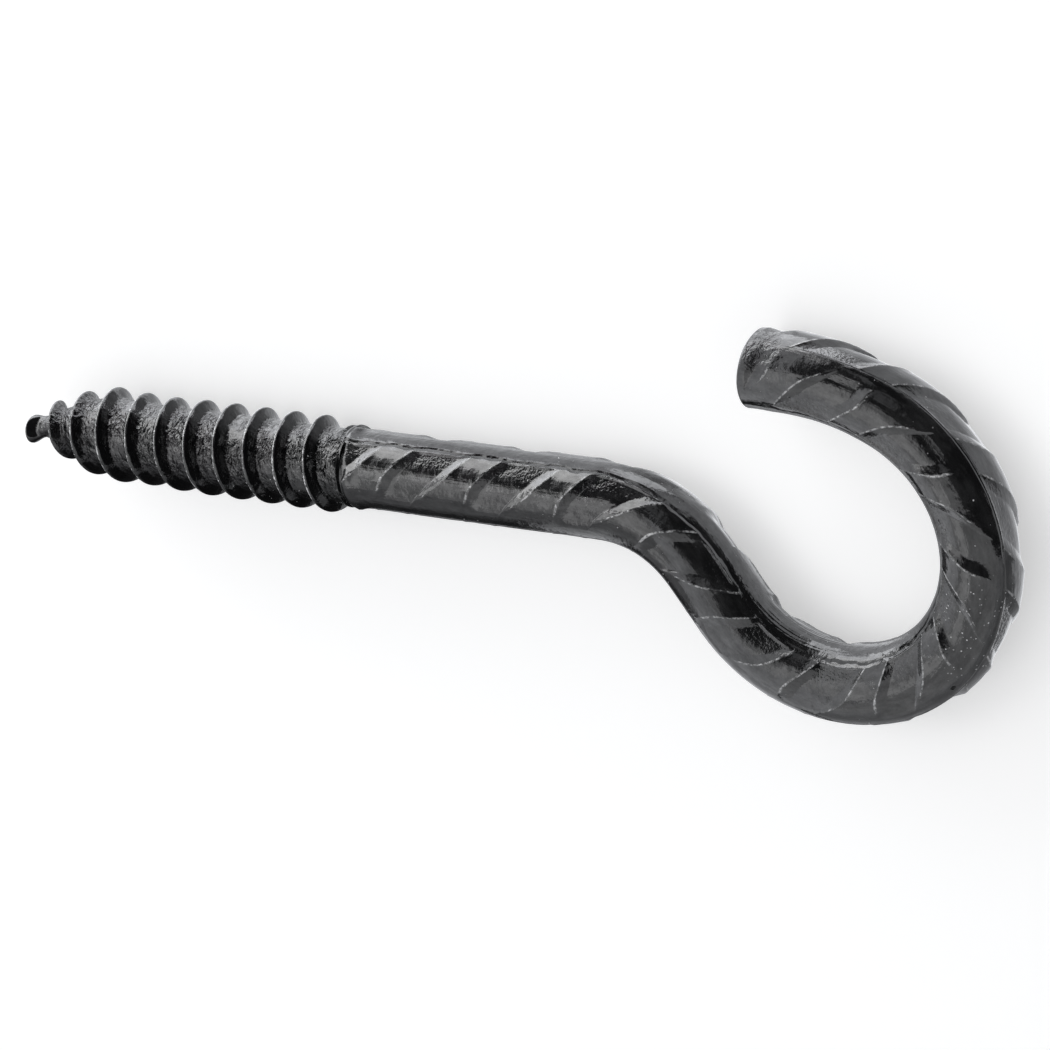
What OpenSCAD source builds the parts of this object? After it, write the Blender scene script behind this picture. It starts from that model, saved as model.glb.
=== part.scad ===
// Screw hook: one length of rolled bar, threaded at one end and bent to an open hook at the other.
// The origin is on the screw axis, where the thread ends and the shank starts.
// +X runs from the screw point to the hook, and the hook lies flat in XY, open towards the shank.

/* [Bar] */
// Diameter of the bar over its smooth bands
bar_d = 10; // [8:0.5:13]
// Straight shank between the thread and the first bend
shank_l = 37.5; // [20:0.5:80]
// Bevel round the cut end
end_bevel = 0.6; // [0.2:0.1:1.5]

/* [Hook] */
// Centreline radius of the neck, the bend that sets the hook back
neck_r = 16; // [12:0.5:30]
// Angle of the neck
neck_a = 55; // [20:1:65]
// Straight run between the neck and the bowl
neck_l = 6; // [1:0.5:20]
// Centreline radius of the bowl
bowl_r = 19; // [14:0.5:40]
// Angle of the bowl
bowl_a = 210; // [120:1:220]
// Centreline radius of the lip, the flatter end of the hook
lip_r = 35; // [20:1:80]
// Angle of the lip
lip_a = 30; // [5:1:45]

/* [Thread] */
// Length of the threaded end, point included
thread_l = 50; // [30:1:90]
// Height of the crests over the bar
crest_rise = 1.1; // [0.4:0.1:2]
// Depth of the core below the bar
root_drop = 0.3; // [0:0.1:0.9]
// Advance of one turn
pitch = 4.6; // [3.5:0.1:7]
// Width across a crest
crest_w = 0.4; // [0.2:0.1:0.8]
// Length of each flank along the axis
flank_w = 0.85; // [0.5:0.05:1.2]
// Length of the tapered end
taper_l = 14; // [6:1:25]
// Diameter of the blunt point
point_d = 3.6; // [2:0.1:6]
// Length of the blunt point
point_l = 2; // [1:0.1:4]
// Length over which the last crest dies out
runout_l = 3; // [2:0.5:8]
// Height over the bar of the ring pushed up where the thread ends
collar_rise = 0.35; // [0:0.05:1]
// Length over which that ring dies out along the shank
collar_l = 1.5; // [0.5:0.1:4]

/* [Rolled pattern] */
// Rows of pockets round the bar
rows = 3; // [2:1:4]
// Spacing of the pockets along the bar
pocket_pitch = 12.4; // [9:0.2:20]
// Width of the rib left between two pockets
rib_w = 4.5; // [2:0.1:6]
// Length of a pocket's sloping ends
slope_w = 1.4; // [0.6:0.1:2]
// Depth of a pocket
pocket_depth = 0.4; // [0.1:0.05:0.8]
// Share of the way round that the pockets take up
pocket_share = 0.75; // [0.5:0.01:0.85]
// Angle round the bar over which a pocket fades out at its soft side
fade_a = 26; // [8:1:40]
// Lean of the ribs from square across the bar
rib_lean = 41; // [0:1:50]
// Angle of the first row's crisp side, from +Y towards +Z
first_row_a = 30; // [0:1:120]
// Where the first pocket of the first row ends, from the thread
first_pocket = 5.6; // [0:0.1:12]

/* [Hidden] */
RADIAN = 180 / PI;
bar_r = bar_d / 2;
core_r = bar_r - root_drop;
collar_r = bar_r + collar_rise;
point_r = point_d / 2;
crest_h = crest_rise + root_drop;

// Steps of the mesh over a band round the bar, and over a rib and a pocket along it
band_steps = 3;
rib_steps = 3;
pocket_steps = 3;

// A pocket's floor takes as many steps round the bar as this number of facets allows.
facets = 12800;

// Length over which the lines of the mesh close up at the ends of the bar and of the thread
settle = 1.5;

// ---- Centreline, as [length, turn] stretches that follow one another ----
stretches = [
    [shank_l, 0],
    [neck_r * neck_a / RADIAN, -neck_a],
    [neck_l, 0],
    [bowl_r * bowl_a / RADIAN, bowl_a],
    [lip_r * lip_a / RADIAN, lip_a]
];

function total(v, i = 0) = i < len(v) ? v[i][0] + total(v, i + 1) : 0;
bar_l = total(stretches);

// Place and heading [x, y, a] at the distance s from the end of the thread
function walk(s, i = 0, x = 0, y = 0, a = 0) =
    let (
        full = stretches[i][0],
        last = i == len(stretches) - 1,
        d = last ? s : min(s, full),
        turn = stretches[i][1] * d / full,
        chord = turn == 0 ? d : 2 * d * RADIAN / turn * sin(turn / 2),
        x2 = x + chord * cos(a + turn / 2),
        y2 = y + chord * sin(a + turn / 2)
    )
    last || s <= full ? [x2, y2, a + turn] : walk(s - full, i + 1, x2, y2, a + turn);

// Point of the skin at the distance s, the angle t round the bar and the radius r
function skin(s, t, r) =
    let (p = walk(s), side = r * cos(t))
    [p.x - side * sin(p.z), p.y + side * cos(p.z), r * sin(t)];

// ---- Easing ----
function clip(v) = min(max(v, 0), 1);
function ease(v) = let (c = clip(v)) c * c * (3 - 2 * c);

// x as it is while it is above the settling length, and closing up towards 0 below it
function close_up(x) = x > settle ? x : settle * settle / (2 * settle - x);

// ---- Thread, as lines that climb round the core and meet themselves a turn later ----
// Each line is [place within a pitch, share of the crest height].
thread_lines = [
    [-crest_w / 2, 1],
    [crest_w / 2, 1],
    [crest_w / 2 + flank_w, 0],
    [pitch / 2, 0],
    [pitch - crest_w / 2 - flank_w, 0]
];
per_turn = len(thread_lines);

// The first line, at the middle of a root
mid_root = 3;

// Where a crest passes the first row's side of the bar, and where the collar stands
crest_x = 0.5;
collar_x = 1;

// Share of the run-out over which the core rises to the collar
rise = 0.75;

point_x = point_l - thread_l;
first_turn = -ceil(-point_x / pitch) - 1;
line_count = -first_turn * per_turn;

// ---- Rolled pattern, as lines across the bar that follow the ribs ----
// A row's pockets start at a crisp wall and fade out towards the next band.
row_a = 360 / rows;
pocket_a = row_a * pocket_share;
wall_a = atan(pocket_depth / bar_r);
lean_shift = bar_r * tan(rib_lean) / RADIAN;

// How far each row is ahead of the first, as the rolls happened to be set
stagger = pocket_pitch * [0, -1/8, 1/4, 1/8];

// Forward shift of row k's lines at an angle past its crisp wall
function row_shift(k, turn) = stagger[k] - lean_shift * turn;
shifts = [for (k = [0 : rows - 1]) each [row_shift(k, 0), row_shift(k, pocket_a)]];

// Each line is [place within a pocket pitch, share of the pocket depth].
rib_end = slope_w + rib_w;
pocket_end = rib_end + slope_w;
bar_lines = [
    [0, 1],
    for (i = [0 : rib_steps]) [slope_w + rib_w * i / rib_steps, 0],
    for (i = [0 : pocket_steps - 1])
        [pocket_end + (pocket_pitch - pocket_end) * i / pocket_steps, 1]
];
per_pocket = len(bar_lines);
first_line = -ceil((max(shifts) + first_pocket) / pocket_pitch * per_pocket);
last_line = ceil((bar_l - min(shifts) - first_pocket) / pocket_pitch * per_pocket);

// ---- Columns of the mesh, as [angle, forward shift, share of the pocket depth] ----
lines = line_count + last_line - first_line;
floor_steps = max(3, floor(facets / 2 / lines / rows) - band_steps - 2);

function row_columns(k) = [
    [0, row_shift(k, 0), 0],
    for (i = [0 : floor_steps])
        let (turn = wall_a + (pocket_a - wall_a) * i / floor_steps)
        [turn, row_shift(k, turn), ease((pocket_a - turn) / fade_a)]
];

function band_columns(k) =
    let (from = row_shift(k, pocket_a), to = row_shift((k + 1) % rows, 0))
    [
        for (i = [1 : band_steps - 1])
            let (share = i / band_steps)
            [pocket_a + share * (row_a - pocket_a), from + share * (to - from), 0]
    ];

columns = [
    for (k = [0 : rows - 1])
        for (c = concat(row_columns(k), band_columns(k)))
            [first_row_a + row_a * k + c[0], c[1], c[2]]
];
N = len(columns);

// ---- Skin of the thread ----
// Radius of the core: the taper from the point, the thread's own core, and the rise to the collar
function core_at(x) =
    point_r
        + (core_r - point_r) * ease((x - point_x) / (taper_l - point_l))
        + (collar_r - core_r) * ease(1 + (x - collar_x) / (runout_l * rise));

// Share of the crest's height that is there: it comes in over half a turn at the point, and is
// gone at the collar
function crest_share(x) = ease((x - point_x) / (pitch / 2)) * ease((collar_x - x) / runout_l);

function thread_point(k, t) =
    let (
        count = k + mid_root,
        line = thread_lines[count % per_turn],
        x = crest_x + line[0] + pitch * (first_turn + floor(count / per_turn) + t / 360),
        r = core_at(x) + crest_h * crest_share(x) * line[1],
        closed = point_x + close_up(x - point_x)
    )
    skin(collar_x - close_up(collar_x - closed), t, r);

thread_points = [
    for (k = [0 : line_count])
        for (c = columns)
            thread_point(k, c[0])
];

// ---- Blunt point, as rings ----
// Each ring is [distance from the tip, radius], on a round end that is flatter than a ball.
point_flat = 0.6;
point_rings = [
    for (a = [22.5 : 22.5 : 90])
        [(1 - cos(a)) * point_r * point_flat, sin(a) * point_r]
];

point_points = [
    [-thread_l, 0, 0],
    for (ring = point_rings)
        for (c = columns)
            skin(ring[0] - thread_l, c[0], ring[1])
];

// ---- Bar ----
bevel_s = bar_l - end_bevel;

function collar_swell(s) = (collar_r - bar_r) * (1 - ease((s - collar_x) / collar_l));

// How far the pattern has closed up at either end, from 1 for open to 0
function open_share(x) = x > settle ? 1 : pow(settle / (2 * settle - x), 2);

function bar_point(j, c) =
    let (
        line = bar_lines[(j % per_pocket + per_pocket) % per_pocket],
        turns = floor(j / per_pocket),
        free = first_pocket + turns * pocket_pitch + line[0] + c[1],
        near = collar_x + close_up(free - collar_x),
        s = bevel_s - close_up(bevel_s - near),
        open = min(open_share(free - collar_x), open_share(bevel_s - near)),
        r = bar_r + collar_swell(s) - pocket_depth * line[1] * c[2] * open
    )
    skin(s, c[0], r);

bar_points = [
    for (c = columns) skin(collar_x, c[0], collar_r),
    for (j = [first_line : last_line])
        for (c = columns)
            bar_point(j, c),
    for (c = columns) skin(bevel_s, c[0], bar_r),
    for (c = columns) skin(bar_l, c[0], bar_r - end_bevel),
    skin(bar_l, 0, 0)
];
bar_rings = last_line - first_line + 4;

// ---- Skin ----
function quad(a, b, c, d) = [[a, c, b], [a, d, c]];

// Faces between the ring that starts at a and the ring that starts at b
function between(a, b) = [
    for (i = [0 : N - 1])
        let (n = (i + 1) % N)
        each quad(a + i, a + n, b + n, b + i)
];

// Faces between two lines of the thread, without the seam
function strip(a, b) = [for (i = [0 : N - 2]) each quad(a + i, a + i + 1, b + i + 1, b + i)];

thread_at = len(point_points);
bar_at = thread_at + len(thread_points);
far_end = bar_at + len(bar_points) - 1;
function line_at(k) = thread_at + k * N;

point_faces = [
    for (i = [0 : N - 1]) [0, 1 + i, 1 + (i + 1) % N],
    for (k = [0 : len(point_rings) - 2]) each between(1 + k * N, 1 + (k + 1) * N),
    each strip(thread_at - N, thread_at),
    each quad(thread_at - 1, thread_at - N, line_at(0), line_at(1) - 1),
    for (k = [0 : per_turn - 1]) [line_at(1) - 1, line_at(k + 1), line_at(k)]
];

thread_faces = [
    for (k = [0 : line_count - 1]) each strip(line_at(k), line_at(k + 1)),
    for (k = [0 : line_count - per_turn - 1])
        each quad(
            line_at(k + 1) - 1,
            line_at(k + per_turn),
            line_at(k + per_turn + 1),
            line_at(k + 2) - 1
        )
];

bar_faces = [
    for (k = [line_count - per_turn : line_count - 1])
        [line_at(k + 1) - 1, line_at(k + 2) - 1, line_at(line_count)],
    each strip(line_at(line_count), bar_at),
    each quad(bar_at - 1, line_at(line_count), bar_at, bar_at + N - 1),
    for (k = [0 : bar_rings - 2]) each between(bar_at + k * N, bar_at + (k + 1) * N),
    for (i = [0 : N - 1]) [far_end, far_end - N + (i + 1) % N, far_end - N + i]
];

module screw_hook() {
    color([0.09, 0.09, 0.1])
        polyhedron(
            points = concat(point_points, thread_points, bar_points),
            faces = concat(point_faces, thread_faces, bar_faces),
            convexity = 6
        );
}

screw_hook();
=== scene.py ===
"""The look of the screw hook: its fine skin, its gloss black paint, the studio and the camera.

Lengths are in millimetres and angles in degrees, unless a comment says otherwise.
"""
import math

import bpy
import numpy as np
from mathutils import Matrix, Vector, noise


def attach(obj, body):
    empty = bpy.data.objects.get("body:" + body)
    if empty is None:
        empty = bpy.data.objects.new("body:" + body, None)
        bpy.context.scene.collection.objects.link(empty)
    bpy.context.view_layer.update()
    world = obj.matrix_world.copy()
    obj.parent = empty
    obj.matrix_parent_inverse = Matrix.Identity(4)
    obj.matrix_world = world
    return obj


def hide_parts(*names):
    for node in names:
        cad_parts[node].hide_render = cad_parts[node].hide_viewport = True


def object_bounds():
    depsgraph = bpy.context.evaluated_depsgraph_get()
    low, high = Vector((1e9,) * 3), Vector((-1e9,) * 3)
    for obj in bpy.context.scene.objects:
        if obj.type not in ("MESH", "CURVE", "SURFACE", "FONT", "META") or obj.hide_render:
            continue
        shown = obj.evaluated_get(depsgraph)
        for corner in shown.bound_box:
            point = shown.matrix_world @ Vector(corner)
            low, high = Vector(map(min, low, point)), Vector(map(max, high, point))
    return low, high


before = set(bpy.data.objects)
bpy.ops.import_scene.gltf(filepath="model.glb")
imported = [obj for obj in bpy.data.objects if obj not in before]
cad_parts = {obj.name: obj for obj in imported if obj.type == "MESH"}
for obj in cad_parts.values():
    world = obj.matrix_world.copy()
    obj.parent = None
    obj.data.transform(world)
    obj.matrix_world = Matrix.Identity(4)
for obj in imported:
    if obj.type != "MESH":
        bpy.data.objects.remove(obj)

CAD_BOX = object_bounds()
MM = 0.001


def arc(radius, turn):
    """Length and turn of a bend."""
    return math.radians(abs(turn)) * radius, turn


# ---- Bar, as in the model ----
BAR_R = 5.0
END_BEVEL = 0.3
STRETCHES = (            # length and turn
    (37.5, 0.0),         # shank
    arc(16.0, -55.0),    # neck
    (6.0, 0.0),
    arc(19.0, 210.0),    # bowl
    arc(35.0, 30.0),     # lip
)
BAR_L = sum(length for length, turn in STRETCHES)

# ---- Thread, as in the model ----
THREAD_L = 50.0
CREST_R = 6.1
CORE_R = 4.7
PITCH = 4.6
CREST_W = 0.4
FLANK_W = 0.85
FLANK_SOFT = 0.2         # rounding of the flanks' corners, as a share of their width
CREST_X = 0.5            # where a crest would cross the hollow side of the hook
TAPER_L = 14.0
POINT_R = 1.8
POINT_L = 2.0
RUNOUT_L = 3.0           # length over which the crest dies out at the collar
COLLAR_R = 5.2
COLLAR_X = 1.0
COLLAR_RISE_L = 1.3

# ---- Rolled pattern, as in the model ----
ROWS = 3
POCKET_PITCH = 12.4
RIB_W = 4.5
SLOPE_W = 1.4
POCKET_DEPTH = 0.48
WALL_A = 3.2             # angle that a pocket's crisp wall takes
WALL_SHARE = 0.3         # share of the depth that is reached on it
FOOT_A = 24.0            # angle at which the full depth is reached
POCKET_A = 90.0
FADE_A = 26.0            # angle over which a pocket fades out at its soft side
RIB_LEAN = 41.0
FIRST_ROW_A = 30.0
FIRST_POCKET = 5.6
STAGGER = (0.0, -POCKET_PITCH / 8, POCKET_PITCH / 4)

# ---- What sets the real bar apart from the regular pattern ----
WANDER = 1.35            # how far the pockets' spacing gets ahead in the middle of the hook
WANDER_FROM = 10.0
WANDER_L = 95.0
ROW_DRIFT = (17.0, 0.0, 0.0)   # how far each row has turned round the bar past the neck
DRIFT_FROM = 38.0
DRIFT_L = 50.0
LIP_DRIFT = (10.0, 0.0, 0.0)   # how much further it turns in the lip
LIP_DRIFT_FROM = 112.0
LIP_DRIFT_L = 30.0
ROW_SWAY = 0.9           # how far the rows sway
SWAY_L = 6.3
SWAY_PHASE = 1.0
SWAY_START_L = 3.0       # length over which the sway starts at the collar
SHORT_SWAY = 0.6         # the shorter sway on top, as a share of the long one
SHORT_SWAY_L = 0.41      # its length, as a share of the long one's
CORNER = 1.6             # rounding of a pocket's corners at its soft side
RIM = 0.05               # height of the ridge pushed up round a pocket
RIM_W = 0.35
RIM_A = 2.0              # how far the ridge lies outside the crisp wall
PEBBLED_A = 32.0         # where the pebbled paint at the foot of the crisp wall ends
PEBBLED_FADE_A = 14.0
START_L = 0.5            # length over which the pockets start at the collar
SPENT_L = 4.0            # length over which they are pressed flat at the cut end
PINCH = 0.3              # how far the shears pressed in the cut end, on its hollow side
PINCH_L = 4.0
END_SKEW = 0.8           # how far the cut end stands out on its hollow side
END_RINGS = (0.94, 0.92, 0.65, 0.3)      # rings of points on the end face, as shares of the bar's radius
END_TEXTURE = 0.99       # size of the end face in the paint's texture
WAVE = 0.05              # waviness of the skin
WAVE_L = 7.0
WAVE_SEED = 5
RIPPLE = 0.35            # the shorter waves on top, as a share of the long ones
RIPPLE_FINER = 3.1       # how many times shorter they are
RIPPLE_SHIFT = (9, 4, 2)

# ---- The crease beside the crisp walls ----
CREASE = 0.32            # its depth
CREASE_AT = 0.3          # how far outside the wall it runs
CREASE_W = 0.34
CREASE_WAVER = 0.25
CREASE_END = 58.0        # where it has nearly died out
CREASE_FADE = 0.8        # share of it that is gone there
CREASE_FADE_L = 20.0
CREASE_NEAR = (-1.0, 2.0)      # how far inside and outside a wall the distance to it is kept
CREASE_IN_A = 6.0        # how far inside the wall the crease counts
CREASE_IN_FADE_A = 4.0
CREASE_OUT_A = 18.0      # how far outside the wall it counts
CREASE_OUT_FADE_A = 6.0

# ---- What sets the real thread apart ----
SEAM_X = 1.5             # the seam that the thread's rolls left at the collar
SEAM_LEAN = 1.0          # how far it leans back on the hollow side of the hook
SEAM = 0.22              # its depth
SEAM_W = 0.22
BULGE = 0.36             # how far the bar swells past the seam
BULGE_OFF = 1.1
BULGE_L = 0.75
ROOT_FADE_L = 0.5        # length over which the crinkled paint of the roots ends at the seam
CREST_RIM_W = 0.14
GATHERS = (              # place, length and height of the folds where the last turn dies out
    (-0.75, 0.2, 0.14),
    (-0.25, 0.2, -0.14),
    (0.45, 0.25, 0.14),
)
THREAD_STRAY = (         # place, length and height of the waves in the thread's axis
    (-50.5, 2.5, -0.8),
    (-41.0, 7.0, 0.3),
)
STRAY_SIDE = (0.0, 0.93, -0.35)
LOW_CREST = 0.2          # how much less high the crests are rolled
LOW_CREST_X = -29.5
LOW_CREST_L = 4.0
KNOB = (                 # rings of the knob at the thread's end: how far along the point, how wide
    (0.0, 0.02 / POINT_R),
    (0.0, 0.9 / POINT_R),
    (0.03, 0.7),
    (0.08, 0.88),
    (0.18, 1.0),
    (0.3, 1.03),
    (0.45, 1.0),
    (0.62, 0.93),
    (0.8, 0.86),
    (0.95, 0.8),
)
KNOB_FLAT_SIDE = np.array([0.55, 0.33, 0.77])
KNOB_FLAT_OFF = 1.15     # from the knob's middle to the flat where it was sheared off
KNOB_NECK_R = 1.4        # the neck between the knob and the first turn
KNOB_NECK_X = 0.6
KNOB_NECK_L = 1.4

# ---- Lines of the mesh ----
SETTLE = 1.5             # length over which they close up at an end
SLOPE_LINES = 6
RIB_LINES = 10
POCKET_LINES = 12
WALL_COLUMNS = 5
FLOOR_COLUMNS = 15
FADE_COLUMNS = 7
BAND_COLUMNS = 8
ROOT_LINES = 5
FLANK_LINES = 6
CREST_LINES = 4


# ---- Easing ----
def ease(v):
    c = np.clip(v, 0.0, 1.0)
    return c * c * (3 - 2 * c)


def ramp(v, soft=0.12):
    """0 below 0 and 1 above 1, straight between them, with both corners rounded off."""
    low = np.where(v < -soft, 0.0, np.where(v > soft, v, (v + soft) ** 2 / (4 * soft)))
    w = 1 - v
    high = np.where(w < -soft, 0.0, np.where(w > soft, w, (w + soft) ** 2 / (4 * soft)))
    return np.where(v < 0.5, low, 1 - high)


def bump(v, width):
    return np.exp(-(v / width) ** 2)


def close_up(x):
    """Squeezes what lies below SETTLE in between 0 and SETTLE, closer and closer together."""
    return np.where(x > SETTLE, x, SETTLE ** 2 / (2 * SETTLE - np.minimum(x, SETTLE)))


def graded(a, b, n):
    """n places from a up to b, closer together at both ends, without b."""
    return [a + (b - a) * (1 - math.cos(math.pi * i / n)) / 2 for i in range(n)]


def round_the_bar(angle):
    """The length of skin that an angle spans."""
    return angle * BAR_R * math.pi / 180


# ---- Centreline and skin ----
def walk(s):
    """Place and heading at the distance s along the bar; before its start the line is straight."""
    x = np.zeros_like(s)
    y = np.zeros_like(s)
    a = np.zeros_like(s)
    left = s.copy()
    for i, (length, turn) in enumerate(STRETCHES):
        d = left if i == len(STRETCHES) - 1 else np.minimum(left, length)
        if i > 0:
            d = np.maximum(d, 0.0)
        bend = np.radians(turn) * d / length
        half = bend / 2
        chord = d * np.sinc(half / np.pi)
        x += chord * np.cos(a + half)
        y += chord * np.sin(a + half)
        a += bend
        left = left - d
    return x, y, a


def skin(s, t, r):
    """The place at s along the bar, at the angle t round it and the radius r."""
    x, y, a = walk(s)
    side = r * np.cos(t)
    return np.stack([x - side * np.sin(a), y + side * np.cos(a), r * np.sin(t)], -1)


def straightened(s, t, r):
    """The same place on the bar as it was before it was bent, which the paint's texture follows."""
    s, t, r = np.broadcast_arrays(s, t, r)
    return np.stack([s, r * np.cos(t), r * np.sin(t)], -1)


def past_seam(s, t):
    """How far a place lies past the seam at the collar."""
    return s - SEAM_X + SEAM_LEAN * np.maximum(np.cos(t), 0) ** 2


def seam_relief(s, t):
    d = past_seam(s, t)
    return BULGE * bump(d - BULGE_OFF, BULGE_L) - SEAM * bump(d, SEAM_W)


# ---- Columns round the bar ----
ROW_A = 360.0 / ROWS
LEAN_SHIFT = BAR_R * math.tan(math.radians(RIB_LEAN)) * math.pi / 180


def make_columns():
    """The row of each column, its turn from the row's crisp side, and its forward shift."""
    turns = (graded(0, WALL_A, WALL_COLUMNS) + graded(WALL_A, POCKET_A - FADE_A, FLOOR_COLUMNS)
             + graded(POCKET_A - FADE_A, POCKET_A, FADE_COLUMNS) + graded(POCKET_A, ROW_A, BAND_COLUMNS))
    row = np.repeat(np.arange(ROWS), len(turns))
    turn = np.tile(np.array(turns), ROWS)
    stagger = np.array(STAGGER + STAGGER[:1])
    own = stagger[row] - LEAN_SHIFT * turn
    band = (turn - POCKET_A) / (ROW_A - POCKET_A)
    start = stagger[row] - LEAN_SHIFT * POCKET_A
    shift = np.where(band > 0, start + band * (stagger[row + 1] - start), own)
    return row, turn, shift


ROW, TURN, SHIFT = make_columns()
COLUMNS = len(ROW)


def between_rows(values):
    """A value of each row for its own columns, shading into the next row's over the band."""
    values = np.array(values + values[:1])
    band = np.clip((TURN - POCKET_A) / (ROW_A - POCKET_A), 0, 1)
    return values[ROW] + band * (values[ROW + 1] - values[ROW])


def sway(s):
    short = np.sin(s / (SHORT_SWAY_L * SWAY_L) + 2 * SWAY_PHASE)
    return np.sin(s / SWAY_L + SWAY_PHASE) + SHORT_SWAY * short


def column_angle(s):
    """Angle round the bar of every column, at the distances s."""
    turned = between_rows(ROW_DRIFT) * ease((s - DRIFT_FROM) / DRIFT_L)
    turned = turned + between_rows(LIP_DRIFT) * ease((s - LIP_DRIFT_FROM) / LIP_DRIFT_L)
    turned = turned + ROW_SWAY * sway(s) * ease(s / SWAY_START_L)
    return np.radians(FIRST_ROW_A + ROW_A * ROW + TURN + turned)


# ---- Bar ----
RIB_END = SLOPE_W + RIB_W
POCKET_END = RIB_END + SLOPE_W


def pocket_field(u, turn):
    """Depth share, nearness to a rim and pebbling, at u along a pocket's period."""
    soft = ease((turn - POCKET_A + 2 * FADE_A) / (2 * FADE_A)) * CORNER
    up = ramp((u + soft) / SLOPE_W)
    down = ramp((u - RIB_END - soft) / SLOPE_W)
    along = np.where(u < RIB_END - RIB_W / 2, 1 - up, down)
    foot = 1 - (1 - np.clip(turn / FOOT_A, 0, 1)) ** 2
    across = WALL_SHARE * ramp(turn / WALL_A) + (1 - WALL_SHARE) * foot
    fade = ease((POCKET_A - turn) / FADE_A)
    on_ends = bump(u + soft - SLOPE_W - RIM_W / 2, RIM_W) + bump(u - RIB_END - soft + RIM_W / 2, RIM_W)
    on_wall = bump(round_the_bar(turn + RIM_A), RIM_W) * along
    edge = np.clip(on_ends * fade * (turn < POCKET_A) + on_wall, 0, 1)
    pebbled = along * ease((PEBBLED_A - turn) / PEBBLED_FADE_A)
    return along * across * fade, edge, pebbled


def beside_walls(shape):
    """How far each point lies outside the nearest crisp wall, in millimetres, and where that counts."""
    outside = round_the_bar(np.where(TURN > POCKET_A, ROW_A - TURN, -TURN))
    counts = ease((CREASE_IN_A - TURN) / CREASE_IN_FADE_A)
    counts = counts + ease((TURN - ROW_A + CREASE_OUT_A) / CREASE_OUT_FADE_A)
    return np.broadcast_to(np.clip(outside, *CREASE_NEAR), shape), np.broadcast_to(counts, shape)


def bar_lines():
    """The pocket that each line of the mesh across the bar belongs to, and its place in it."""
    u = (graded(0, SLOPE_W, SLOPE_LINES) + graded(SLOPE_W, RIB_END, RIB_LINES)
         + graded(RIB_END, POCKET_END, SLOPE_LINES) + graded(POCKET_END, POCKET_PITCH, POCKET_LINES))
    before = math.ceil((SHIFT.max() + FIRST_POCKET) / POCKET_PITCH)
    after = math.ceil((BAR_L - SHIFT.min() - FIRST_POCKET) / POCKET_PITCH)
    pockets = np.repeat(np.arange(-before, after), len(u))
    return pockets, np.tile(np.array(u), after + before)


def by_the_end(s):
    """0 along the bar and 1 at the cut end."""
    return ease((s - BAR_L + PINCH_L) / PINCH_L)


def skewed(s, t):
    """The cut end isn't square: its hollow side stands out."""
    return END_SKEW * np.cos(t) * by_the_end(s)


def pinch(s, t):
    return PINCH * by_the_end(s) * np.maximum(np.cos(t), 0) ** 2


def make_bar():
    """Points of the bar from the collar to the bevel, the same on the straight bar, and its fields."""
    pockets, u = bar_lines()
    free = FIRST_POCKET + pockets[:, None] * POCKET_PITCH + u[:, None] + SHIFT[None, :]
    free = free + WANDER * np.sin(math.pi * (free - WANDER_FROM) / WANDER_L)
    near = COLLAR_X + close_up(free - COLLAR_X)
    bevel_s = BAR_L - END_BEVEL
    s = bevel_s - close_up(bevel_s - near)
    t = column_angle(s)
    opened = np.minimum(ease(past_seam(s, t) / START_L), ease((bevel_s - near) / SPENT_L))
    depth, edge, pebbled = pocket_field(*np.broadcast_arrays(u[:, None], TURN[None, :]))
    beyond, by_wall = beside_walls(s.shape)
    collar = (COLLAR_R - BAR_R) * (1 - ease((s - COLLAR_X) / (SEAM_X - COLLAR_X)))
    relief = collar + seam_relief(s, t) - POCKET_DEPTH * depth * opened + RIM * edge * opened
    r = BAR_R + relief - pinch(s, t)
    fields = {
        "edge": edge * opened,
        "pebbled": pebbled * opened,
        "beyond": beyond,
        "by_wall": by_wall * opened * (1 - CREASE_FADE * ease((s - CREASE_END) / CREASE_FADE_L + 1)),
        "root": 1 - ease(past_seam(s, t) / ROOT_FADE_L + 1),
    }
    return skin(s + skewed(s, t), t, r), straightened(s, t, r), fields


def make_end():
    """The bevel and the face of the cut end, ring by ring."""
    t = column_angle(np.full(1, BAR_L))
    inner = pinch(BAR_L, t)
    skew = skewed(BAR_L, t)
    rings = [skin(BAR_L - END_BEVEL + skew, t, BAR_R - inner)]
    rings += [skin(BAR_L + skew * share, t, (BAR_R - inner) * share) for share in END_RINGS]
    return np.array(rings)


# ---- Thread ----
POINT_X = POINT_L - THREAD_L
FIRST_TURN = -math.ceil(-POINT_X / PITCH) - 1


def thread_profile():
    """Places over one pitch, from the middle of a root, each with its share of the crest."""
    half = CREST_W / 2
    flank = half + FLANK_W
    v = (graded(-PITCH / 2, -flank, ROOT_LINES) + graded(-flank, -half, FLANK_LINES)
         + graded(-half, half, CREST_LINES)
         + graded(half, flank, FLANK_LINES) + graded(flank, PITCH / 2, ROOT_LINES))
    v = np.array(v)
    share = 1 - ramp((np.abs(v) - half) / FLANK_W, soft=FLANK_SOFT)
    return v, share


def core_at(x, s):
    neck = (POINT_R - KNOB_NECK_R) * bump(s - POINT_X - KNOB_NECK_X, KNOB_NECK_L)
    return (POINT_R + (CORE_R - POINT_R) * ease((x - POINT_X) / (TAPER_L - POINT_L)) - neck
            + (COLLAR_R - CORE_R) * ease(1 + (x - COLLAR_X) / COLLAR_RISE_L))


def crest_share(x):
    """How high the crests stand: they start at the point and run out at the collar."""
    return ease((x - POINT_X) / (PITCH / 2)) * ease((COLLAR_X - x) / RUNOUT_L)


def waves(x, places):
    return sum(height * bump(x - at, width) for at, width, height in places)


def stray(s):
    """How far the thread strays from its axis."""
    return waves(s, THREAD_STRAY)[..., None] * np.array(STRAY_SIDE)


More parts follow.
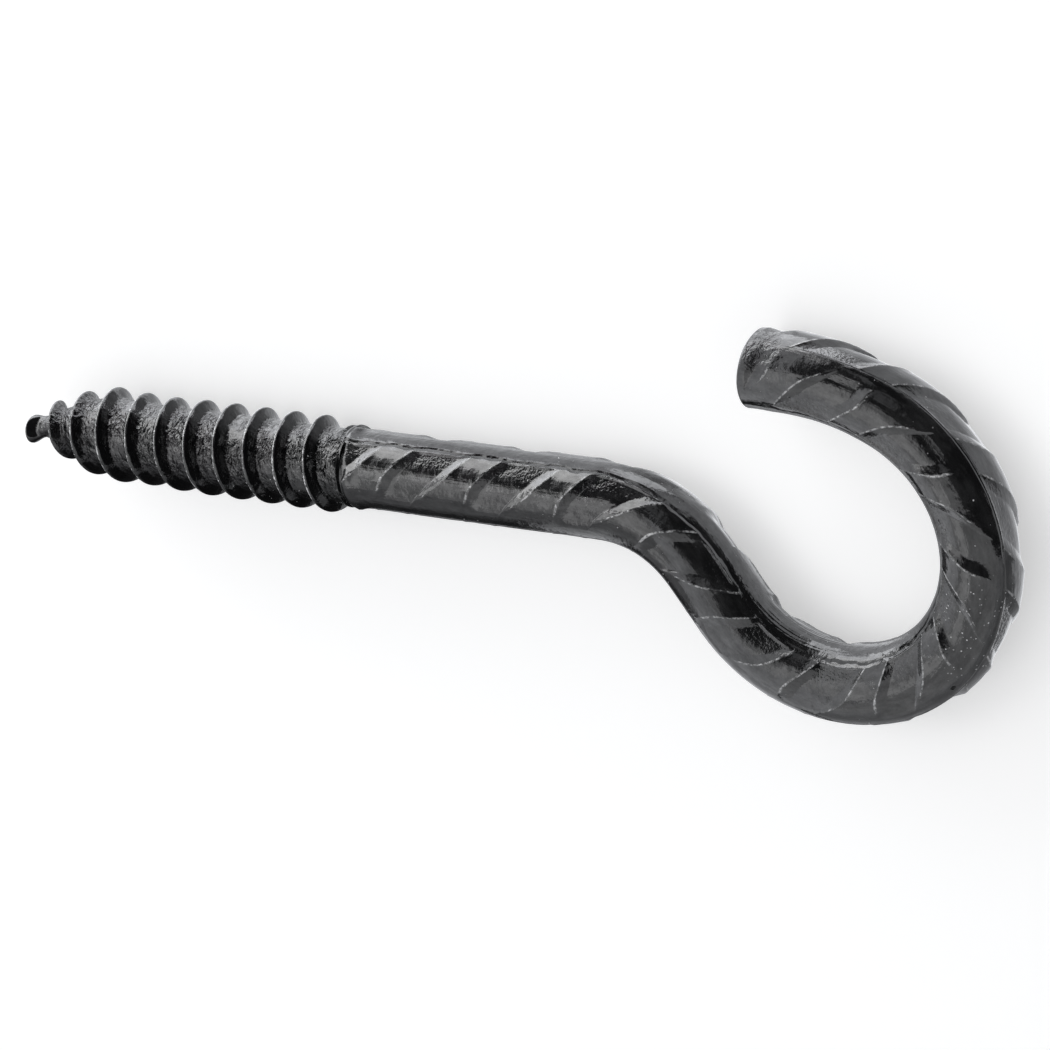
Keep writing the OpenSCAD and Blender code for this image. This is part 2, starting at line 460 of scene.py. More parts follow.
def make_thread():
    """Points of the ribbon of lines wound into the thread, the same on the straight bar, and its fields."""
    v, share = thread_profile()
    per_turn = len(v)
    k = np.arange(-FIRST_TURN * per_turn + 1)[:, None]
    place = v[k % per_turn]
    part = share[k % per_turn]
    t = column_angle(np.zeros(1)) + 0 * place
    x = CREST_X + place + PITCH * (FIRST_TURN + k // per_turn + np.degrees(t) / 360)
    height = CREST_R - CORE_R - LOW_CREST * bump(x - LOW_CREST_X, LOW_CREST_L)
    closed = POINT_X + close_up(x - POINT_X)
    s = COLLAR_X - close_up(COLLAR_X - closed)
    r = core_at(x, s) + height * crest_share(x) * part + seam_relief(s, t) + waves(x, GATHERS)
    crest = part * crest_share(x)
    rim = bump(place + CREST_W / 2, CREST_RIM_W) * crest_share(x)
    return skin(s, t, r) + stray(s), straightened(s, t, r), crest, rim, per_turn


def make_tip():
    """The knob at the thread's point, ring by ring, with the flat where it was cut off."""
    t = column_angle(np.zeros(1))
    rings = [skin(np.full(COLUMNS, along * POINT_L - THREAD_L), t, wide * POINT_R) for along, wide in KNOB]
    tip = np.array(rings)
    tip = tip + stray(tip[..., 0])
    over = (tip - tip.mean(axis=(0, 1))) @ KNOB_FLAT_SIDE - KNOB_FLAT_OFF
    return tip - np.maximum(over, 0)[..., None] * KNOB_FLAT_SIDE


# ---- Mesh ----
def fan(centre, ring):
    return [(centre, ring + i, ring + (i + 1) % COLUMNS) for i in range(COLUMNS)]


def tube(first, rings):
    """The faces between rings of points, which lie one after the other from the point first on."""
    a = first + np.arange(rings - 1)[:, None] * COLUMNS
    i = np.arange(COLUMNS)[None, :]
    n = (i + 1) % COLUMNS
    return np.stack([a + i, a + n, a + COLUMNS + n, a + COLUMNS + i], -1).reshape(-1, 4).tolist()


def ribbon(start, lines, per_turn):
    """The faces of the ribbon wound into the thread, from the tip's last ring to the collar's.

    Each line's last point meets the first point of the line a turn further on.
    """
    def line(k):
        return start + k * COLUMNS

    i = np.arange(COLUMNS - 1)[None, :]
    at = line(np.arange(-1, lines + 1))[:, None]
    flat = np.stack([at + i, at + i + 1, at + COLUMNS + i + 1, at + COLUMNS + i], -1).reshape(-1, 4)
    k = np.arange(lines - per_turn)
    joined = np.stack([line(k + 1) - 1, line(k + per_turn), line(k + per_turn + 1), line(k + 2) - 1], -1)
    faces = flat.tolist() + joined.tolist()
    faces.append((start - 1, line(-1), start, line(1) - 1))
    faces.append((line(lines + 1) - 1, line(lines), line(lines + 1), line(lines + 2) - 1))
    faces += [(line(1) - 1, line(j), line(j + 1)) for j in range(per_turn)]
    faces += [(line(j + 1) - 1, line(lines), line(j + 2) - 1) for j in range(lines - per_turn, lines)]
    return faces


def make_hook():
    """Points and faces of the whole skin, the paint's fields, and the points on the straight bar.

    The fields are shares: edge near the rim of a pocket, pebbled at the foot of its crisp wall, by_wall
    beside that wall, root between the crests of the thread, and rim along the crests. Only beyond is a
    length: how far a point lies outside the crisp wall.
    """
    thread, thread_place, crest, rim, per_turn = make_thread()
    bar, bar_place, bar_fields = make_bar()
    t = column_angle(np.zeros(1))
    collar = skin(np.full(COLUMNS, COLLAR_X), t, COLLAR_R + seam_relief(COLLAR_X, t))
    blocks = [make_tip(), thread, collar[None], bar, make_end()]
    centre = skin(np.full(1, BAR_L), np.zeros(1), 0.0)
    points = np.concatenate([b.reshape(-1, 3) for b in blocks] + [centre])
    sizes = [len(b) for b in blocks]
    starts = [sum(sizes[:i]) * COLUMNS for i in range(len(blocks) + 1)]
    on_thread, on_collar, on_bar = [slice(starts[i], starts[i + 1]) for i in (1, 2, 3)]

    last = len(points) - 1
    faces = [range(COLUMNS - 1, -1, -1)]
    faces += tube(0, sizes[0])
    faces += ribbon(starts[1], sizes[1] - 1, per_turn)
    faces += tube(starts[2], sum(sizes[2:]))
    faces += fan(last, last - COLUMNS)

    fields = {name: np.zeros(len(points)) for name in list(bar_fields) + ["rim"]}
    for name, values in bar_fields.items():
        fields[name][on_bar] = values.ravel()
    fields["root"][on_thread] = 1 - crest.ravel()
    fields["root"][on_collar] = 1
    fields["rim"][on_thread] = rim.ravel()

    straight = points.copy()
    straight[on_thread] = thread_place.reshape(-1, 3)
    straight[on_bar] = bar_place.reshape(-1, 3)
    end = straight[starts[4]:]
    end[:] = (BAR_L, 0, 0) + (end - centre) * END_TEXTURE
    return points, faces, fields, straight


def roughen(points):
    """Waves of the skin, as the rolls and the bending left them, kept inside the model's box."""
    noise.seed_set(WAVE_SEED)
    shift = Vector(RIPPLE_SHIFT)
    out = points.copy()
    for i, p in enumerate(points):
        v = Vector(p) / WAVE_L
        out[i] += noise.noise_vector(v) * WAVE
        out[i] += noise.noise_vector(v * RIPPLE_FINER + shift) * WAVE * RIPPLE
    low, high = [np.array(corner) / MM for corner in CAD_BOX]
    return np.clip(out, low, high)


def build_hook():
    points, faces, fields, straight = make_hook()
    mesh = bpy.data.meshes.new("hook_skin")
    mesh.from_pydata((roughen(points) * MM).tolist(), [], faces)
    mesh.validate(verbose=True)
    mesh.update()
    for name, values in fields.items():
        field = mesh.attributes.new(name, "FLOAT", "POINT")
        field.data.foreach_set("value", values.astype(np.float32))
    place = mesh.attributes.new("straight", "FLOAT_VECTOR", "POINT")
    place.data.foreach_set("vector", straight.astype(np.float32).ravel())
    mesh.polygons.foreach_set("use_smooth", np.ones(len(mesh.polygons), dtype=bool))
    hook = bpy.data.objects.new("hook_skin", mesh)
    bpy.context.collection.objects.link(hook)
    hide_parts("screw_hook")
    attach(hook, "root")
    return hook


# ---- Nodes ----
def new_material(name):
    material = bpy.data.materials.new(name)
    material.use_nodes = True
    tree = material.node_tree
    return material, tree, tree.nodes["Principled BSDF"]


def wired(tree, socket, value):
    """Links an output to a socket, or sets the socket's own value."""
    if isinstance(value, bpy.types.NodeSocket):
        tree.links.new(value, socket)
    else:
        socket.default_value = value


def math_node(tree, operation, a, b=0.5, clamp=False):
    node = tree.nodes.new("ShaderNodeMath")
    node.operation = operation
    node.use_clamp = clamp
    wired(tree, node.inputs[0], a)
    wired(tree, node.inputs[1], b)
    return node.outputs[0]


def plus(tree, a, b, clamp=False):
    return math_node(tree, "ADD", a, b, clamp)


def times(tree, a, b):
    return math_node(tree, "MULTIPLY", a, b)


def larger(tree, a, b):
    return math_node(tree, "MAXIMUM", a, b)


def inverted(tree, share):
    return math_node(tree, "SUBTRACT", 1.0, share)


def apart(tree, value, middle):
    return math_node(tree, "ABSOLUTE", math_node(tree, "SUBTRACT", value, middle))


def ranged(tree, value, between, to=(0.0, 1.0)):
    """Takes one range to another, and stops at its ends."""
    node = tree.nodes.new("ShaderNodeMapRange")
    for name, end in zip(("From Min", "From Max", "To Min", "To Max"), between + to):
        node.inputs[name].default_value = end
    wired(tree, node.inputs["Value"], value)
    return node.outputs["Result"]


def vector_node(tree, operation, place, *values):
    node = tree.nodes.new("ShaderNodeVectorMath")
    node.operation = operation
    wired(tree, node.inputs[0], place)
    for i, value in enumerate(values):
        node.inputs[i + 1].default_value = value
    return node


def attribute(tree, name, output="Fac"):
    node = tree.nodes.new("ShaderNodeAttribute")
    node.attribute_name = name
    return node.outputs[output]


def blended(tree, share, a, b):
    node = tree.nodes.new("ShaderNodeMix")
    node.data_type = "RGBA"
    wired(tree, node.inputs["Factor"], share)
    wired(tree, node.inputs[6], a)
    wired(tree, node.inputs[7], b)
    return node.outputs[2]


def bumped(tree, normal, height, depth, share=1.0):
    """Adds a height from 0 to 1 as a relief of that depth, in millimetres."""
    node = tree.nodes.new("ShaderNodeBump")
    node.inputs["Distance"].default_value = depth * MM
    wired(tree, node.inputs["Strength"], share)
    wired(tree, node.inputs["Height"], height)
    if normal is not None:
        wired(tree, node.inputs["Normal"], normal)
    return node.outputs["Normal"]


# ---- Patterns on the straightened bar, in millimetres ----
NOISE_ENDS = (0.3, 0.7)        # the range that noise seldom leaves
NOISE_MIDDLE = (0.35, 0.65)    # the range that it is mostly in
DOT_HEART = 0.4                # share of a dot's size in which it is full


def moved(tree, place, shift, along=1.0, across=1.0):
    """Another part of a texture, so that no two show the same pattern, drawn out as grain says."""
    node = vector_node(tree, "MULTIPLY_ADD", place, (along, across, across), (shift, shift, shift))
    return node.outputs["Vector"]


def grain(tree, place, size, along=1.0, across=1.0, shift=0.0, detail=2.0, rough=0.5, distortion=0.0):
    """Noise with features of about that size, longer along or across the bar where that is under 1."""
    if (along, across, shift) != (1.0, 1.0, 0.0):
        place = moved(tree, place, shift, along, across)
    node = tree.nodes.new("ShaderNodeTexNoise")
    wired(tree, node.inputs["Vector"], place)
    node.inputs["Scale"].default_value = 1 / size
    node.inputs["Detail"].default_value = detail
    node.inputs["Roughness"].default_value = rough
    node.inputs["Distortion"].default_value = distortion
    return node.outputs["Fac"]


def dots(tree, place, spacing, size, shift):
    """Small round spots, scattered over the skin."""
    node = tree.nodes.new("ShaderNodeTexVoronoi")
    wired(tree, node.inputs["Vector"], moved(tree, place, shift))
    node.inputs["Scale"].default_value = 1 / spacing
    node.inputs["Randomness"].default_value = 1.0
    return ranged(tree, node.outputs["Distance"], (size / spacing, size / spacing * DOT_HEART))


def spot(tree, place, centre, radius, rise=(0.1, 0.5)):
    """1 close to a place, falling to 0 towards that distance from it."""
    distance = vector_node(tree, "DISTANCE", place, centre).outputs["Value"]
    return ranged(tree, ranged(tree, distance, (0.0, radius), to=(1.0, 0.0)), rise)


def towards(tree, place, side):
    """How far a place lies to that side."""
    return vector_node(tree, "DOT_PRODUCT", place, side).outputs["Value"]


# ---- Paint ----
PAINT_BLACK = (0.0013, 0.0013, 0.0016, 1)
# pale grey of rims with worn paint, which also paints the glints along them
WORN_AND_GLINT_GREY = (0.72, 0.72, 0.73, 1)
PAINT_IOR = 1.6
SPECULAR = 0.5
COAT = 0.3
COAT_ROUGHNESS = 0.06
ROUGHNESS = (0.1, 0.19)        # the smoothest and the roughest paint
WORN_AND_GLINT_ROUGHER = 0.3
WORN_AND_GLINT_HEIGHT = 0.03
HAZE = 0.023                   # the most that the film of dust hides
FOLD_LEVEL = 0.47              # the level of the noise along which the painted shade of the folds runs
FORWARD = (1.0, 0.0, 0.0)      # sides of the straightened bar
HOLLOW_SIDE = (0.0, 1.0, 0.0)
HUNG_SIDE = (0.0, 0.6, 0.8)    # the side on which the wet paint gathered
SPECKLED_AT = (99.5, -2.3, 4.2)      # the most speckled place of the bowl
SPECKLED_R = 9.0
DRAWN_AT = (70.0, 4.8, 0.8)          # the middle of the drawn lines and how far they reach
DRAWN_R = 11.0
DRAWN_FROM = (3.9, 4.6)              # how far to the hollow side they begin and are full
PIT_AT = (92.1, -3.6, 3.5)           # the one pit in the bowl's paint, and the share of gloss left in it
PIT_R = 0.5
PIT_DEPTH = 0.2
PIT_GLOSS = 0.2
CRUMPLED = (                   # where the shears crumpled the paint: place, radius and depth
    ((144.2, -4.0, 2.8), 4.0, 0.36),
    ((-43.5, 4.5, 2.0), 7.5, 0.45),
)


def orange_peel(tree, place, pebbled):
    """The sprayed coat: a slow wave, a finer one, and pebbles at the foot of the crisp walls."""
    slow = grain(tree, place, size=1.3, detail=1.0)
    normal = bumped(tree, None, slow, depth=0.055)
    fine = grain(tree, place, size=0.45, rough=0.6)
    normal = bumped(tree, normal, fine, depth=0.018)
    pebbles = grain(tree, place, size=0.38, shift=5.0, detail=1.5, rough=0.6)
    normal = bumped(tree, normal, pebbles, depth=0.09, share=pebbled)
    streaks = grain(tree, place, size=0.35, along=0.08, detail=1.0)
    return bumped(tree, normal, streaks, depth=0.02)


def creased(tree, place, normal):
    """The thin wavering crease that the rolls left beside the crisp walls."""
    waver = ranged(tree, grain(tree, place, size=3.0), NOISE_ENDS, to=(-CREASE_WAVER, CREASE_WAVER))
    outside = plus(tree, attribute(tree, "beyond"), waver)
    level = ranged(tree, apart(tree, outside, CREASE_AT), (0.0, CREASE_W))
    return bumped(tree, normal, level, CREASE, share=attribute(tree, "by_wall"))


def drawn(tree, place, normal):
    """Fine lines along the hollow side of the bowl, from the drawing of the bar."""
    share = spot(tree, place, DRAWN_AT, DRAWN_R)
    share = times(tree, share, ranged(tree, towards(tree, place, HOLLOW_SIDE), DRAWN_FROM))
    lines = grain(tree, place, size=0.3, along=0.02, shift=3.0, detail=0.0)
    return bumped(tree, normal, lines, depth=0.09, share=share)


def crumpled(tree, place, normal):
    """The folds that the shears left in the paint, at both ends."""
    for centre, radius, depth in CRUMPLED:
        share = spot(tree, place, centre, radius)
        folds = grain(tree, place, size=1.4, shift=41.0, detail=3.0, distortion=1.2)
        normal = bumped(tree, normal, folds, depth, share)
    return normal


def crinkled(tree, place, root):
    """How far the thick paint in the roots of the thread crinkled."""
    patches = grain(tree, place, size=4.0, shift=31.0, detail=1.0)
    share = ranged(tree, patches, (0.35, 0.6), to=(0.3, 1.0))
    share = times(tree, ranged(tree, root, (0.75, 0.98), to=(0.08, 1.0)), share)
    return times(tree, share, ranged(tree, towards(tree, place, HUNG_SIDE), (-1.0, 3.5), to=(0.2, 1.0)))


def wrinkled(tree, place, normal, share):
    """The folds of the crinkled paint, coarse ones and fine ones."""
    folds = grain(tree, place, size=1.7, across=0.7, shift=7.0, detail=1.0, distortion=1.2)
    normal = bumped(tree, normal, folds, depth=0.5, share=share)
    fine = grain(tree, place, size=0.6, across=0.8, shift=17.0, distortion=0.6)
    return bumped(tree, normal, fine, depth=0.42, share=share)


def gloss_left(tree, place, share):
    """The gloss, a little uneven, taken away along the narrow folds of the crinkled paint as painted shade.
    """
    film = grain(tree, place, size=1.1, along=0.45, shift=35.0, detail=5.0, rough=0.75)
    uneven = ranged(tree, film, NOISE_MIDDLE, to=(0.74, 1.2))
    folds = grain(tree, place, size=0.9, across=0.6, shift=23.0, detail=3.0, rough=0.6, distortion=0.8)
    # painted shade: no gloss along the folds, as if they shaded themselves
    dark = ranged(tree, apart(tree, folds, FOLD_LEVEL), (0.008, 0.04), to=(1.0, 0.0))
    return times(tree, uneven, inverted(tree, times(tree, dark, share)))


def worn_and_glints(tree, place, edge, rim):
    """Where the rims of the pockets and of the thread have lost their paint, and painted glints along them:
    pale grey that stands in for the light the rims catch.
    """
    chips = grain(tree, place, size=0.6, shift=3.0, detail=3.0, rough=0.7)
    patches = grain(tree, place, size=4.0, shift=11.0, detail=1.0)
    level = plus(tree, chips, ranged(tree, patches, NOISE_MIDDLE, to=(-0.08, 0.08)))
    on_edge = times(tree, ranged(tree, level, (0.44, 0.64), to=(0.05, 0.85)), ranged(tree, edge, (0.65, 1.0)))
    on_rim = times(tree, ranged(tree, level, (0.47, 0.6), to=(0.16, 1.3)), ranged(tree, rim, (0.3, 0.8)))
    flecks = times(tree, ranged(tree, level, (0.53, 0.59)), ranged(tree, rim, (0.05, 0.3)))
    return larger(tree, on_edge, larger(tree, on_rim, flecks))


def specks(tree, place):
    """Dust and small chips, thick in some places and missing in others."""
    where = grain(tree, place, size=7.0, shift=21.0)
    there = spot(tree, place, SPECKLED_AT, SPECKLED_R, rise=(0.2, 0.5))
    thick = dots(tree, place, spacing=0.6, size=0.12, shift=13.0)
    thick = times(tree, thick, there)
    thick = times(tree, thick, ranged(tree, grain(tree, place, size=1.5), (0.4, 0.55)))
    few = dots(tree, place, spacing=1.7, size=0.12, shift=5.0)
    few = times(tree, few, ranged(tree, where, (0.48, 0.6)))
    fine = dots(tree, place, spacing=0.8, size=0.06, shift=9.0)
    fine = times(tree, fine, ranged(tree, where, (0.52, 0.66)))
    return larger(tree, larger(tree, few, fine), thick)


def haze(tree, place):
    """A thin film of dust on the bar, wiped along it."""
    film = grain(tree, place, size=2.0, along=0.4, shift=27.0, detail=5.0, rough=0.7)
    on_bar = ranged(tree, towards(tree, place, FORWARD), (0.0, 3.0))
    return times(tree, ranged(tree, film, (0.45, 0.7), to=(0.0, HAZE)), on_bar)


def paint_relief(tree, place, bare_and_glints, crinkles, level):
    """Everything of the paint that stands out or lies deeper, as one normal."""
    normal = orange_peel(tree, place, attribute(tree, "pebbled"))
    normal = creased(tree, place, normal)
    normal = drawn(tree, place, normal)
    normal = crumpled(tree, place, normal)
    normal = wrinkled(tree, place, normal, crinkles)
    normal = bumped(tree, normal, bare_and_glints, WORN_AND_GLINT_HEIGHT)
    return bumped(tree, normal, level, PIT_DEPTH)


def black_paint():
    material, tree, shader = new_material("black_paint")
    place = attribute(tree, "straight", "Vector")
    # worn rims with painted glints along them, and dust and chips
    bare_and_glints = worn_and_glints(tree, place, attribute(tree, "edge"), attribute(tree, "rim"))
    bare_and_glints = larger(tree, bare_and_glints, specks(tree, place))
    shown = plus(tree, bare_and_glints, haze(tree, place), clamp=True)
    crinkles = crinkled(tree, place, attribute(tree, "root"))
    level = inverted(tree, spot(tree, place, PIT_AT, PIT_R))
    cloudy = ranged(tree, grain(tree, place, size=3.0, detail=3.0), NOISE_ENDS, to=ROUGHNESS)
    in_pit = ranged(tree, level, (0.0, 1.0), to=(PIT_GLOSS, 1.0))
    gloss = times(tree, gloss_left(tree, place, crinkles), in_pit)
    normal = paint_relief(tree, place, bare_and_glints, crinkles, level)

    # pale grey where the rims are worn and where glints are painted on them
    wired(tree, shader.inputs["Base Color"], blended(tree, shown, PAINT_BLACK, WORN_AND_GLINT_GREY))
    wired(tree, shader.inputs["Roughness"], plus(tree, cloudy, times(tree, bare_and_glints, WORN_AND_GLINT_ROUGHER)))
    wired(tree, shader.inputs["IOR"], PAINT_IOR)
    # less gloss in the folds of crinkled paint, as painted shade
    wired(tree, shader.inputs["Specular IOR Level"], times(tree, gloss, SPECULAR))
    wired(tree, shader.inputs["Coat Weight"], times(tree, gloss, COAT))
    wired(tree, shader.inputs["Coat Roughness"], COAT_ROUGHNESS)
    wired(tree, shader.inputs["Normal"], normal)
    wired(tree, shader.inputs["Coat Normal"], normal)
    return material


# ---- Floor and world ----
REST_CREST = Vector((-4.0, 0.0, -CREST_R))     # the last full crest and the far side of the bowl,
REST_BOWL = Vector((88.6, 0.0, -BAR_R))        # on which the hook lies
FLOOR_GAP = 0.06
FLOOR_SIZE = 8.0                               # metres
FLOOR_GREY = (0.74, 0.74, 0.74, 1)
FLOOR_GLOW = 0.45                              # what the floor adds where it is seen
WORLD_WHITE = (0.97, 0.98, 1, 1)
WORLD_LIGHT = 0.5                              # how bright the world is as a light; it is 1 where seen


def placed(name, data, place):
    thing = bpy.data.objects.new(name, data)
    thing.matrix_world = place
    bpy.context.collection.objects.link(thing)
    return thing


def seen_rays(tree):
    """1 for the rays that show a surface, straight or in a gloss, and 0 for those that light one."""
    rays = tree.nodes.new("ShaderNodeLightPath")
    seen = larger(tree, rays.outputs["Is Camera Ray"], rays.outputs["Is Glossy Ray"])
    return larger(tree, seen, rays.outputs["Is Transmission Ray"])


def floor_paint():
    material, tree, shader = new_material("floor")
    wired(tree, shader.inputs["Base Color"], FLOOR_GREY)
    wired(tree, shader.inputs["Roughness"], 1.0)
    wired(tree, shader.inputs["Specular IOR Level"], 0.0)
    wired(tree, shader.inputs["Emission Color"], (1, 1, 1, 1))
    wired(tree, shader.inputs["Emission Strength"], times(tree, seen_rays(tree), FLOOR_GLOW))
    return material


def floor():
    half = FLOOR_SIZE / 2
    mesh = bpy.data.meshes.new("floor")
    mesh.from_pydata([(-half, -half, 0), (half, -half, 0), (half, half, 0), (-half, half, 0)], [], [range(4)])
    mesh.materials.append(floor_paint())
    tilt = math.atan2(REST_BOWL.z - REST_CREST.z, REST_BOWL.x - REST_CREST.x)
    place = Matrix.Rotation(-tilt, 4, "Y")
    place.translation = (REST_CREST - Vector((0, 0, FLOOR_GAP))) * MM
    sheet = placed("floor", mesh, place)
    sheet.visible_glossy = False


def white_world():
    """White where it is seen, and dimmer as a light."""
    world = bpy.data.worlds.new("world")
    world.use_nodes = True
    tree = world.node_tree
    back = tree.nodes["Background"]
    wired(tree, back.inputs["Color"], WORLD_WHITE)
    seen = times(tree, seen_rays(tree), 1 - WORLD_LIGHT)
    wired(tree, back.inputs["Strength"], plus(tree, seen, WORLD_LIGHT))
    bpy.context.scene.world = world


# ---- What only the gloss of the paint shows ----
GLOW_TINT = (0.95, 0.965, 1, 1)
AIM = Vector((35.0, 0.0, 0.0)) * MM      # about the middle of the hook
SCREEN_FAR = 1.1         # metres
SCREEN_STEP = 5.0
NECK_X = 45.0            # where cards stand across the bar, and along it
SIDE_Y = -60.0
SLAT_STEP = 4.0
TABLE_Z = -45.0          # what shows from below, as if the hook were held up over a table
TABLE_FAR = 3000.0

SCREENS = (              # name, azimuths, elevations of its foot and its head at both, grey, metres nearer
    ("dark_wall", (-15, 97), (3, 3), (90, 90), 0.075, 0.0),
    ("pale_patch", (74, 97), (30, 26), (50, 56), 0.5, 0.05),
    ("dark_gap", (97, 154), (16, 47), (66, 56), 0.085, 0.0),
    ("dusk", (228, 345), (6, 6), (18, 18), 0.85, 0.04),
    ("dark_edge", (228, 345), (-5, -5), (8, 8), 0.6, 0.05),
)
CARDS_ACROSS = (         # name, x, y and z, grey in all or at each corner, whether the bowl sees its face
    ("shade_over", NECK_X, (-58, 110), (8, 60), 0.03, False),
    ("shade_under", NECK_X, (-58, 110), (-44, -8), (0.5, 0.03, 0.03, 0.5), False),
    ("shade_middle", NECK_X, (14, 110), (-8, 8), 0.03, False),
    ("bowl_glow", NECK_X + 1, (-58, 110), (8, 45), 1.4, True),
)
SLATS = (                # name, x, y and z, grey
    ("side_slats", (1, 41), (-59, -52), (-44, 26), 0.8),
    ("table_slats", (-24, 44), (12, 62), (-44, -36), 1.4),
)
# the nearly black low cards are painted shadow: the hook's shadow on the table beside it, as the gloss shows
# it
CARDS_ALONG = (          # name, x and z, grey at its foot and at its head
    ("left_low", (-200, -8), (-44, -6), 0.04, 0.04),
    ("left_rise", (-200, -8), (-6, 28), 0.04, 0.5),
    ("left_high", (-200, -8), (28, 75), 0.5, 0.65),
    ("side_low", (-8, 44), (-44, 20), 0.03, 0.03),
    ("side_rise", (-8, 44), (20, 30), 0.03, 0.6),
    ("side_high", (-8, 44), (30, 75), 0.6, 0.7),
)
TABLES = (               # name, x and y, grey, height over the first one
    ("table", (-TABLE_FAR, TABLE_FAR), (-TABLE_FAR, TABLE_FAR), 0.5, 0.0),
    ("light_table", (-TABLE_FAR, 60), (45, TABLE_FAR), 4.2, 0.5),
    ("light_edge", (-TABLE_FAR, -20), (12, 45), 1.7, 0.5),
    ("half_light", (-52, 0), (45, 150), 1.5, 1.0),
    ("right_table", (70, 400), (-45, TABLE_FAR), 1.3, 0.5),
    ("front_table", (60, 300), (-90, -45), 0.5, 0.5),
    ("middle_table", (-20, 45), (12, 62), 0.5, 1.5),
    ("near_table", (45, 70), (12, 62), 1.3, 1.5),
    ("under", (-60, 25), (-12, 12), 0.8, 0.5),
    ("under_bowl", (25, 70), (-12, 12), 1.6, 0.5),
    # painted shadow of the hook on the table on its near side, as the gloss shows it
    ("dark_table", (-TABLE_FAR, 60), (-TABLE_FAR, -12), 0.4, 0.5),
)


def glow(name, one_sided):
    """As bright as the grey of each point, whatever lights it; one-sided, it is clear from behind."""
    material, tree, shader = new_material(name)
    wired(tree, shader.inputs["Base Color"], (0, 0, 0, 1))
    wired(tree, shader.inputs["Specular IOR Level"], 0.0)
    wired(tree, shader.inputs["Emission Color"], GLOW_TINT)
    wired(tree, shader.inputs["Emission Strength"], attribute(tree, "grey"))
    if one_sided:
        behind = tree.nodes.new("ShaderNodeNewGeometry").outputs["Backfacing"]
        wired(tree, shader.inputs["Alpha"], inverted(tree, behind))
    return material


def gloss_sheet(name, points, faces, greys, one_sided=False):
    """A sheet that only the gloss shows, its points in metres; greys is one value or one for each point."""
    mesh = bpy.data.meshes.new(name)
    mesh.from_pydata(points, [], faces)
    values = np.broadcast_to(np.array(greys, dtype=np.float32), len(points))
    mesh.attributes.new("grey", "FLOAT", "POINT").data.foreach_set("value", np.ascontiguousarray(values))
    mesh.materials.append(glow(name, one_sided))
    sheet = bpy.data.objects.new(name, mesh)
    sheet.visible_camera = False
    sheet.visible_diffuse = False
    sheet.visible_shadow = False
    bpy.context.collection.objects.link(sheet)


def gloss_cards(name, corners, greys, one_sided=False):
    """Flat cards of four corners each, in millimetres."""
    points = [[v * MM for v in corner] for corner in corners]
    gloss_sheet(name, points, [range(i, i + 4) for i in range(0, len(points), 4)], greys, one_sided)


def direction(azimuth, elevation):
    a = math.radians(azimuth)
    e = math.radians(elevation)
    return Vector((math.cos(e) * math.cos(a), math.cos(e) * math.sin(a), math.sin(e)))


def partway(ends, share):
    return ends[0] + (ends[1] - ends[0]) * share


def screen(name, azimuths, low, high, grey, nearer):
    """A curved screen round the hook; low and high are the elevations of its edges at both azimuths."""
    across = max(2, round(abs(azimuths[1] - azimuths[0]) / SCREEN_STEP))
    up = max(2, round(abs(high[0] - low[0]) / SCREEN_STEP))
    points = []
    for j in range(up + 1):
        for i in range(across + 1):
            ends = (partway(low, i / across), partway(high, i / across))
            way = direction(partway(azimuths, i / across), partway(ends, j / up))
            points.append(AIM + way * (SCREEN_FAR - nearer))
    first = [j * (across + 1) + i for j in range(up) for i in range(across)]
    gloss_sheet(name, points, [(a, a + across + 1, a + across + 2, a + 1) for a in first], grey)


def across_bar(x, y, z, to_bowl):
    """The corners of a card across the bar, in the order that turns its face to the bowl or to the thread."""
    corners = [(x, y[0], z[0]), (x, y[0], z[1]), (x, y[1], z[1]), (x, y[1], z[0])]
    return corners[::-1] if to_bowl else corners


def card_across(name, x, y, z, grey, to_bowl):
    gloss_cards(name, across_bar(x, y, z, to_bowl), grey, one_sided=True)


def slats(name, x, y, z, grey):
    """Narrow cards in a row along the bar, which only what faces the thread's tip shows."""
    count = round((x[1] - x[0]) / SLAT_STEP) + 1
    corners = [c for i in range(count) for c in across_bar(x[0] + i * SLAT_STEP, y, z, True)]
    gloss_cards(name, corners, grey, one_sided=True)


def card_along(name, x, z, low, high):
    """A card along the near side of the thread and the shank."""
    corners = [(x[0], SIDE_Y, z[0]), (x[1], SIDE_Y, z[0]), (x[1], SIDE_Y, z[1]), (x[0], SIDE_Y, z[1])]
    gloss_cards(name, corners, (low, low, high, high))


def table(name, x, y, grey, over):
    """A level patch under the hook."""
    z = TABLE_Z + over
    gloss_cards(name, [(x[0], y[0], z), (x[1], y[0], z), (x[1], y[1], z), (x[0], y[1], z)], grey)


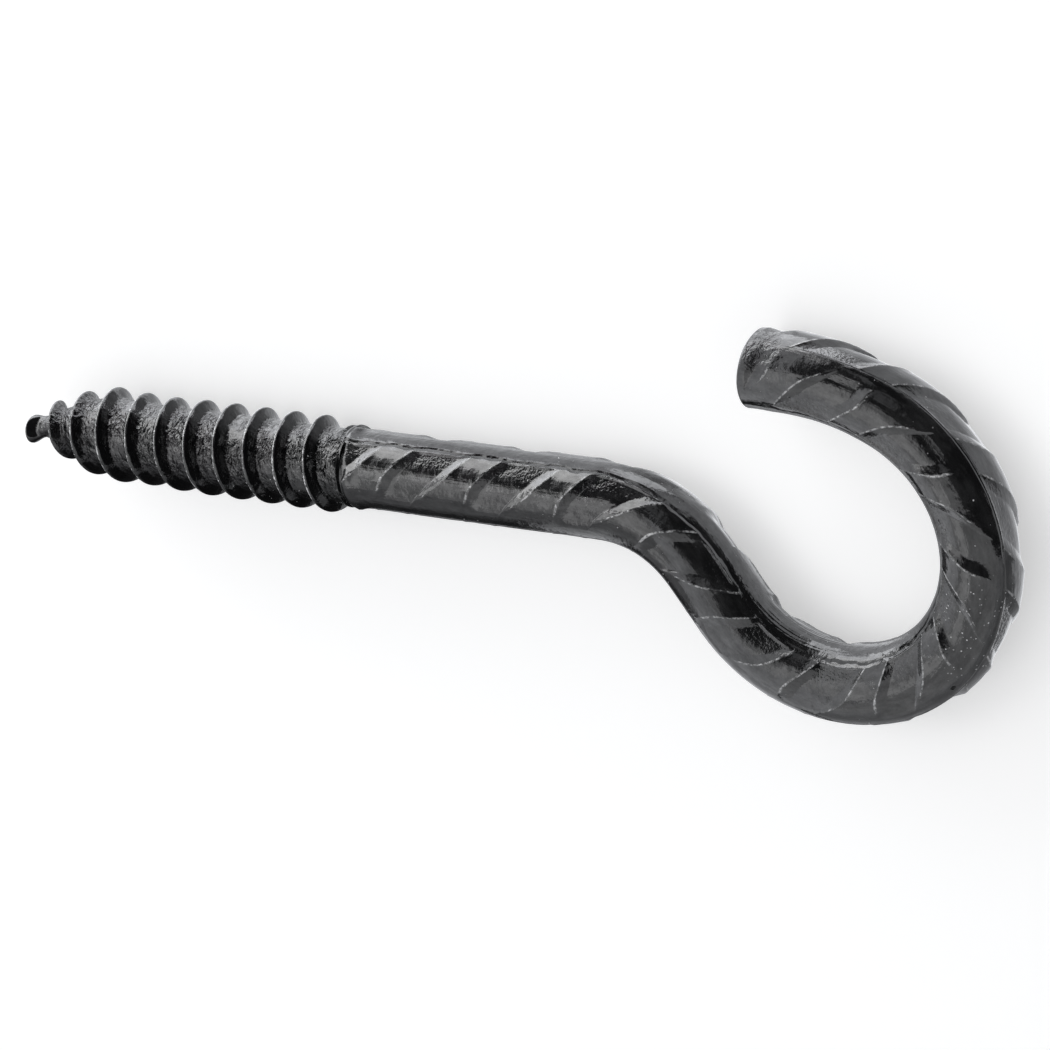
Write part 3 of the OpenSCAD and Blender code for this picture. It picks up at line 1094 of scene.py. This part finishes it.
def surroundings():
    kinds = ((screen, SCREENS), (card_across, CARDS_ACROSS), (slats, SLATS), (card_along, CARDS_ALONG),
             (table, TABLES))
    for build, rows in kinds:
        for row in rows:
            build(*row)


# ---- Lamps ----
SOFTBOXES = (            # name, azimuth, elevation, distance, width and height in metres, radiance
    ("left_box", 128, 12, 1.0, 0.95, 0.5, 3.5),
    ("back_box", 164, 36, 1.05, 0.5, 0.8, 1.7),
    ("top_box", 185, 68, 1.0, 1.3, 0.42, 0.8),
)


def softbox(name, azimuth, elevation, distance, width, height, radiance):
    lamp = bpy.data.lights.new(name, "AREA")
    lamp.shape = "RECTANGLE"
    lamp.size = width
    lamp.size_y = height
    lamp.energy = radiance * math.pi * width * height
    way = direction(azimuth, elevation)
    place = way.to_track_quat("Z", "Y").to_matrix().to_4x4()
    place.translation = AIM + way * distance
    placed(name, lamp, place)


def studio():
    white_world()
    floor()
    surroundings()
    for row in SOFTBOXES:
        softbox(*row)


# ---- Camera ----
CAMERA_TILT = (0.4308, -0.5273, -0.1352)     # radians about X, Y and Z
CAMERA_SHIFT = (-22.114, 7.48)
CAMERA_FAR = 634.2
CAMERA_CLIP = (0.05, 20.0)  # metres
VIEW_SCALE = 7.895          # pixels of the 1050 a side that a millimetre takes up at that distance
FRAME_SIDE = 1050
SENSOR = 36.0


def camera():
    data = bpy.data.cameras.new("camera")
    data.sensor_width = SENSOR
    data.lens = VIEW_SCALE * CAMERA_FAR / FRAME_SIDE * SENSOR
    data.clip_start, data.clip_end = CAMERA_CLIP
    tilt = [Matrix.Rotation(angle, 3, axis) for angle, axis in zip(CAMERA_TILT, "XYZ")]
    turn = (tilt[2] @ tilt[1] @ tilt[0]).transposed()
    place = turn.to_4x4()
    place.translation = turn @ Vector((-CAMERA_SHIFT[0], -CAMERA_SHIFT[1], CAMERA_FAR)) * MM
    bpy.context.scene.camera = placed("camera", data, place)


def main():
    hook = build_hook()
    hook.data.materials.append(black_paint())
    camera()
    studio()
    bpy.context.scene.view_settings.view_transform = "Standard"


main()
